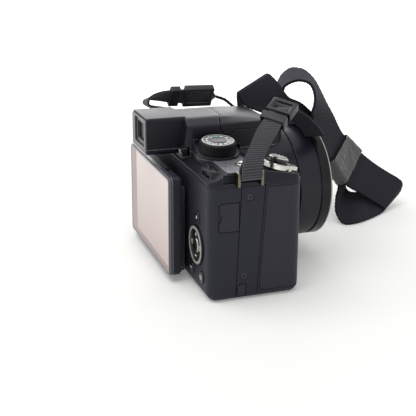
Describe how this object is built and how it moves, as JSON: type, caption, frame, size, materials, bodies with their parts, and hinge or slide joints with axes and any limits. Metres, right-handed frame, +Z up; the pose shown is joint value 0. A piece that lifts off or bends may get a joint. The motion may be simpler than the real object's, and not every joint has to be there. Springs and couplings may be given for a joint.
{
  "type": "bridge camera",
  "caption": "Bridge camera with a deep grip, long zoom lens, electronic viewfinder, swing-out screen, pop-up flash and a neck strap bundled with tape.",
  "frame": {"origin": "centre of the tripod socket's mouth, in the base plane", "axes": "+X to the grip, the user's right hand; +Y to the lens front; +Z up"},
  "size_m": [0.1417, 0.1931, 0.0973],
  "materials": {
    "body_plastic": "fine matte moulded charcoal",
    "deck_plastic": "matte moulded charcoal",
    "grip_rubber": "fine grained soft rubber",
    "lens_black": "satin black",
    "gloss_black": "gloss black",
    "screen_bezel": "satin grey bezel",
    "bright_plating": "bright plating",
    "dial_aluminium": "satin silver dial top",
    "bracket_metal": "black painted plate",
    "steel": "plain steel",
    "optical_glass": "coated optical glass",
    "screen_glass": "screen cover with a pale reflection",
    "clear_plastic": "ribbed clear window",
    "circuit_board": "circuit board laminate",
    "cell_case": "moulded cell and card cases",
    "strap_webbing": "ribbed charcoal webbing",
    "packing_tape": "grey film tape"
  },
  "bodies": {
    "body": {"rear_cover": "body_plastic", "mid_frame": "body_plastic", "front_cover": "body_plastic", "top_cover": "deck_plastic", "grip_rubber": "grip_rubber", "evf_housing": "body_plastic", "eyepiece_frame": "grip_rubber", "eyepiece_lens": "optical_glass", "evf_display": "circuit_board", "flash_pin": "steel", "lens_shroud": "lens_black", "lens_ring": "lens_black", "front_ring": "gloss_black", "lens_base": "lens_black", "rear_group": "optical_glass", "sensor_unit": "circuit_board", "main_board": "circuit_board", "control_board": "circuit_board", "battery_box": "lens_black", "battery": "cell_case", "memory_card": "cell_case", "battery_door_pin": "steel", "connector_sockets": "steel", "bracket_pin": "steel", "tripod_bush": "steel", "strap_lugs": "steel", "case_screws": "steel", "strap_band": "strap_webbing", "strap_webbing": "strap_webbing", "strap_buckles": "lens_black", "strap_sleeve": "packing_tape"},
    "diopter": {"diopter_dial": "gloss_black"},
    "flash": {"flash_head": "deck_plastic", "flash_window": "clear_plastic", "flash_tube": "bright_plating"},
    "mode": {"mode_dial": "gloss_black", "mode_dial_cap": "dial_aluminium"},
    "command": {"command_dial": "gloss_black"},
    "power": {"power_button": "bright_plating"},
    "shutter": {"shutter_button": "bright_plating"},
    "lever": {"zoom_lever": "bright_plating"},
    "zoom_outer": {"zoom_barrel_outer": "lens_black"},
    "zoom_inner": {"zoom_barrel_inner": "lens_black", "front_element": "optical_glass", "iris_unit": "lens_black"},
    "hatch": {"battery_door": "body_plastic"},
    "door": {"connector_door": "grip_rubber"},
    "flap": {"dc_flap": "grip_rubber"},
    "selector": {"selector_pad": "gloss_black"},
    "confirm": {"confirm_button": "gloss_black"},
    "play": {"play_button": "gloss_black"},
    "menu": {"menu_button": "gloss_black"},
    "delete": {"delete_button": "gloss_black"},
    "monitor": {"monitor_button": "gloss_black"},
    "bracket": {"screen_bracket": "bracket_metal"},
    "screen": {"screen_shell": "body_plastic", "screen_frame": "screen_bezel", "screen_glass": "screen_glass", "screen_panel": "circuit_board", "screen_pin": "steel"}
  },
  "joints": [
    {"name": "diopter_turn", "type": "hinge", "parent": "body", "child": "diopter", "pos_m": [-0.0189, -0.028, 0.0725], "axis": [1, 0, 0], "range_deg": [-120, 120]},
    {"name": "flash_popup", "type": "hinge", "parent": "body", "child": "flash", "pos_m": [0, 0.0055, 0.0784], "axis": [1, 0, 0], "range_deg": [0, 45]},
    {"name": "mode_turn", "type": "hinge", "parent": "body", "child": "mode", "pos_m": [0.0295, -0.0047, 0.06875], "axis": [0.1045, 0, 0.9945], "continuous": true},
    {"name": "command_turn", "type": "hinge", "parent": "body", "child": "command", "pos_m": [0.0485, -0.01281, 0.05948], "axis": [0, 0.8733, 0.4872], "continuous": true},
    {"name": "power_press", "type": "slide", "parent": "body", "child": "power", "axis": [0, 0, -1], "range_m": [0, 0.0007], "stiffness_N_per_m": 300},
    {"name": "shutter_press", "type": "slide", "parent": "body", "child": "shutter", "axis": [0, -0.2588, -0.9659], "range_m": [0, 0.0007], "stiffness_N_per_m": 300},
    {"name": "zoom_lever_turn", "type": "hinge", "parent": "body", "child": "lever", "pos_m": [0.052, 0.0178, 0.06334], "axis": [0, 0.2588, 0.9659], "range_deg": [-20, 20], "stiffness_Nm_per_rad": 0.02},
    {"name": "zoom_outer_slide", "type": "slide", "parent": "body", "child": "zoom_outer", "axis": [0, 1, 0], "range_m": [0, 0.026]},
    {"name": "zoom_inner_slide", "type": "slide", "parent": "zoom_outer", "child": "zoom_inner", "axis": [0, 1, 0], "range_m": [0, 0.0208]},
    {"name": "battery_door_swing", "type": "hinge", "parent": "body", "child": "hatch", "pos_m": [0.0492, -0.0022, 0.0016], "axis": [-1, 0, 0], "range_deg": [0, 95]},
    {"name": "connector_door_swing", "type": "hinge", "parent": "body", "child": "door", "pos_m": [0.06105, -0.00535, 0.044], "axis": [0, 0, 1], "range_deg": [0, 110]},
    {"name": "dc_flap_swing", "type": "hinge", "parent": "body", "child": "flap", "pos_m": [0.06105, -0.00135, 0.0052], "axis": [0, 0, 1], "range_deg": [0, 110]},
    {"name": "selector_rock", "type": "hinge", "parent": "body", "child": "selector", "pos_m": [0.0427, -0.0195, 0.0246], "axis": [1, 0, 0], "range_deg": [-3, 3], "stiffness_Nm_per_rad": 0.05},
    {"name": "confirm_press", "type": "slide", "parent": "body", "child": "confirm", "axis": [0, 1, 0], "range_m": [0, 0.0007], "stiffness_N_per_m": 300},
    {"name": "play_press", "type": "slide", "parent": "body", "child": "play", "axis": [0, 1, 0], "range_m": [0, 0.0007], "stiffness_N_per_m": 300},
    {"name": "menu_press", "type": "slide", "parent": "body", "child": "menu", "axis": [0, 1, 0], "range_m": [0, 0.0007], "stiffness_N_per_m": 300},
    {"name": "delete_press", "type": "slide", "parent": "body", "child": "delete", "axis": [0, 1, 0], "range_m": [0, 0.0007], "stiffness_N_per_m": 300},
    {"name": "monitor_press", "type": "slide", "parent": "body", "child": "monitor", "axis": [0, 1, 0], "range_m": [0, 0.0007], "stiffness_N_per_m": 300},
    {"name": "bracket_swing", "type": "hinge", "parent": "body", "child": "bracket", "pos_m": [-0.0078, -0.0222, 0.0052], "axis": [1, 0, 0], "range_deg": [0, 45]},
    {"name": "screen_tilt", "type": "hinge", "parent": "bracket", "child": "screen", "pos_m": [-0.0078, -0.026, 0.0536], "axis": [-1, 0, 0], "range_deg": [0, 90]}
  ],
  "couplings": [
    {"joint": "zoom_inner_slide", "follows": "zoom_outer_slide", "ratio": 0.8}
  ]
}
